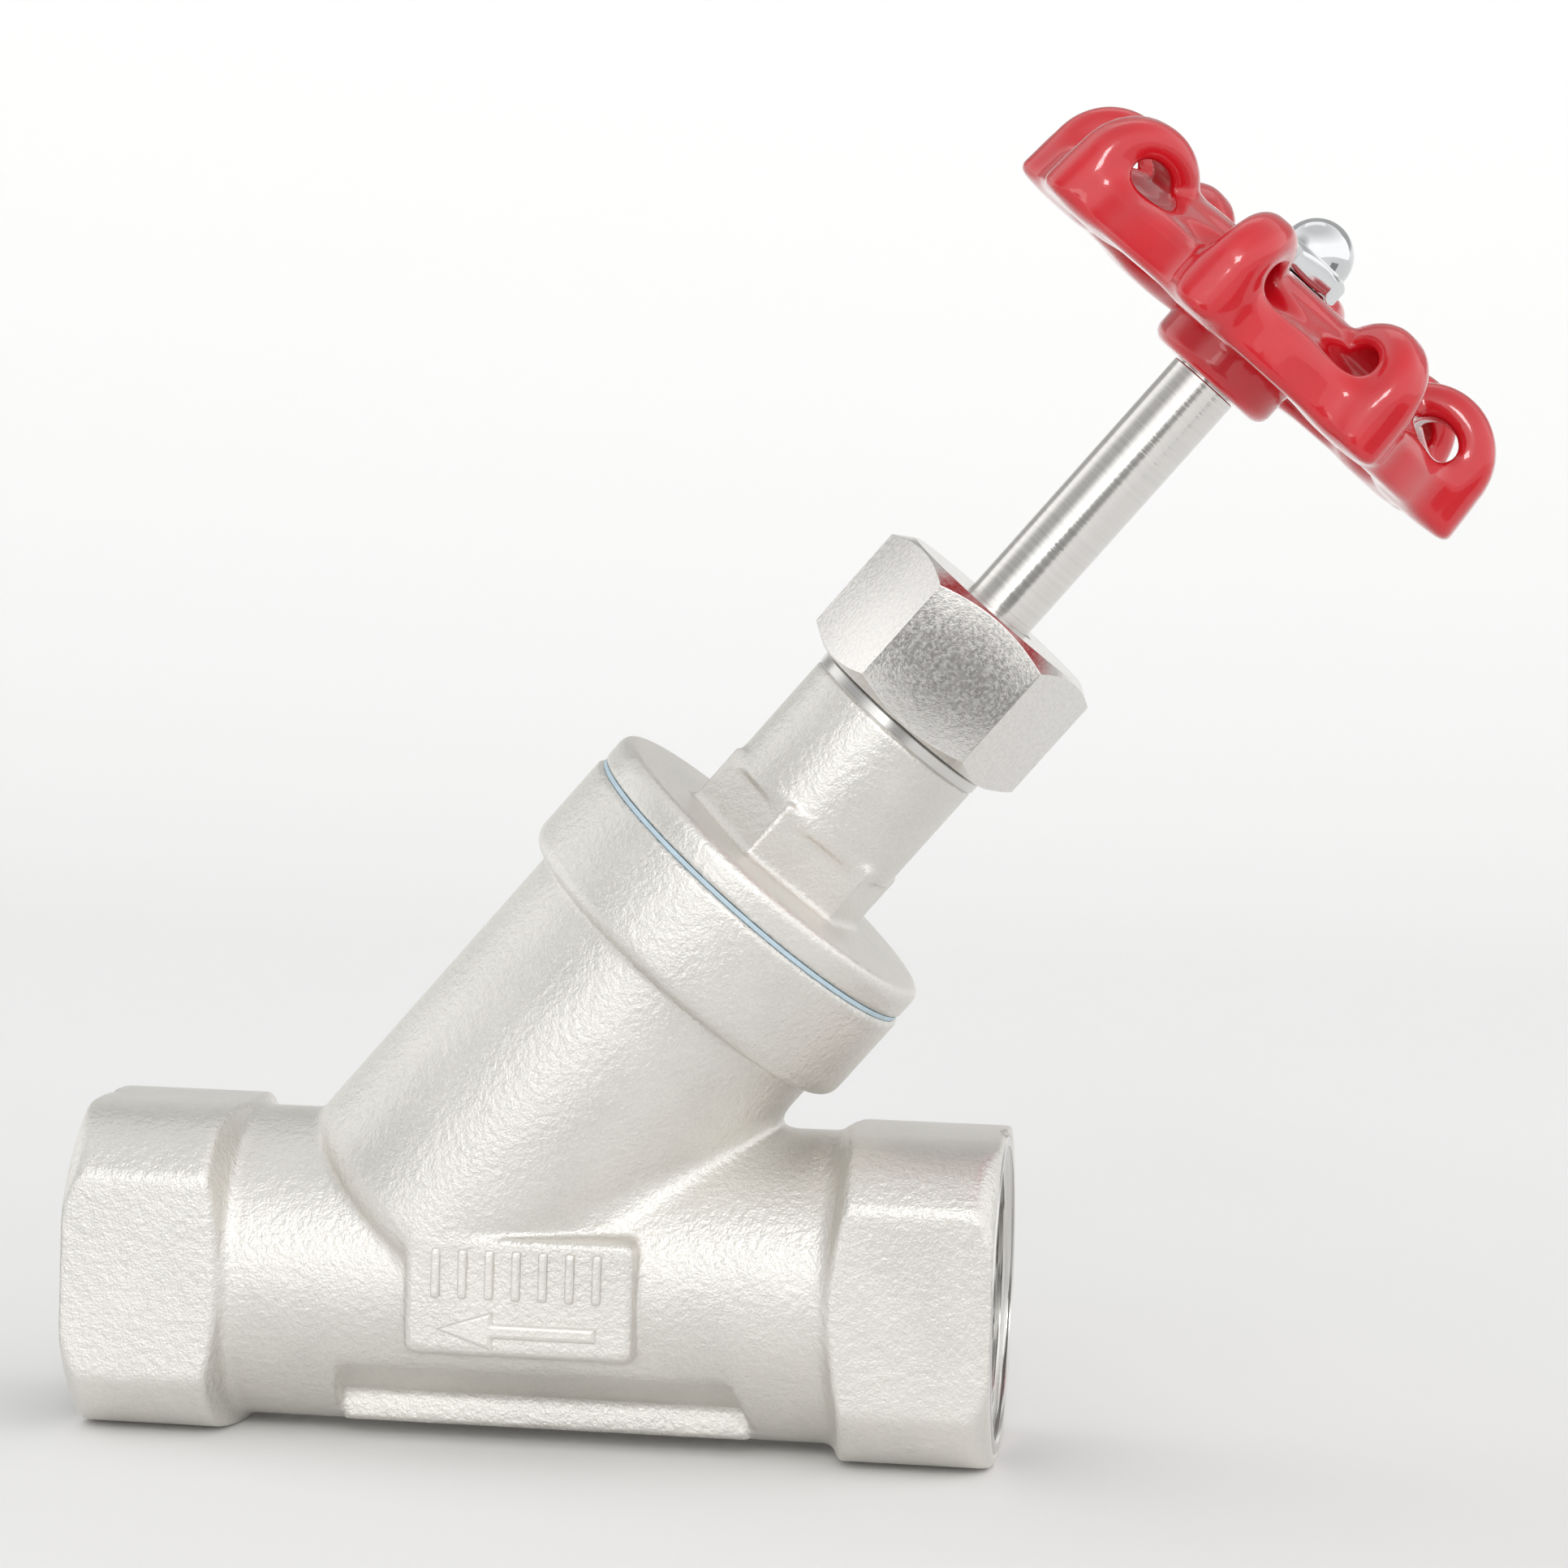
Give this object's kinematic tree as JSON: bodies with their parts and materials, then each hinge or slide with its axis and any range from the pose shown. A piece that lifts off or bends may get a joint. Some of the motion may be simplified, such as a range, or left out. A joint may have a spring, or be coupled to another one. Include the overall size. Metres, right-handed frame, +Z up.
{
  "type": "globe valve",
  "caption": "Y-pattern globe valve with female pipe threads at both ends, screwed bonnet, packing nut, rising stem and lobed red handwheel.",
  "frame": {"origin": "centre of the bounding box's base: the plane the two wrenching blocks stand on", "axes": "+X along the run towards the end that the stem leans over, +Z up, +Y across the valve; the stem leans 50 degrees up from +X"},
  "size_m": [0.2236, 0.0912, 0.219],
  "materials": {
    "cast_steel": "blasted cast stainless steel, satin with a fine grain",
    "machined_steel": "turned stainless steel",
    "polished_steel": "polished stainless steel with fine turning lines",
    "chrome_plate": "bright plated",
    "red_enamel": "glossy red enamel on a casting",
    "gasket_blue": "light blue sheet gasket",
    "white_polymer": "white fluoropolymer"
  },
  "bodies": {
    "valve_body": {"body_casting": "cast_steel", "bonnet_gasket": "gasket_blue", "bonnet": "cast_steel", "packing_base_ring": "machined_steel", "packing_ring_1": "white_polymer", "packing_ring_2": "white_polymer", "packing_ring_3": "white_polymer", "packing_ring_4": "white_polymer", "gland_follower": "machined_steel", "packing_nut": "polished_steel"},
    "disc_assembly": {"disc_holder": "machined_steel", "disc_seal_ring": "white_polymer", "seal_retainer": "machined_steel", "seal_nut": "machined_steel", "split_collar_1": "machined_steel", "split_collar_2": "machined_steel", "disc_swivel_nut": "machined_steel"},
    "stem_assembly": {"stem": "polished_steel", "handwheel": "red_enamel", "wheel_flat_washer": "polished_steel", "wheel_spring_washer": "polished_steel", "acorn_nut": "chrome_plate"}
  },
  "joints": [
    {"name": "stem_lift", "type": "slide", "parent": "valve_body", "child": "disc_assembly", "axis": [0.6428, 0, 0.766], "range_m": [-0.024, 0]},
    {"name": "stem_spin", "type": "hinge", "parent": "disc_assembly", "child": "stem_assembly", "pos_m": [0.05008, 0, 0.15673], "axis": [0.6428, 0, 0.766], "range_deg": [-2880, 0]}
  ],
  "couplings": [
    {"joint": "stem_lift", "follows": "stem_spin", "m_per_rad": 0.0004774}
  ]
}
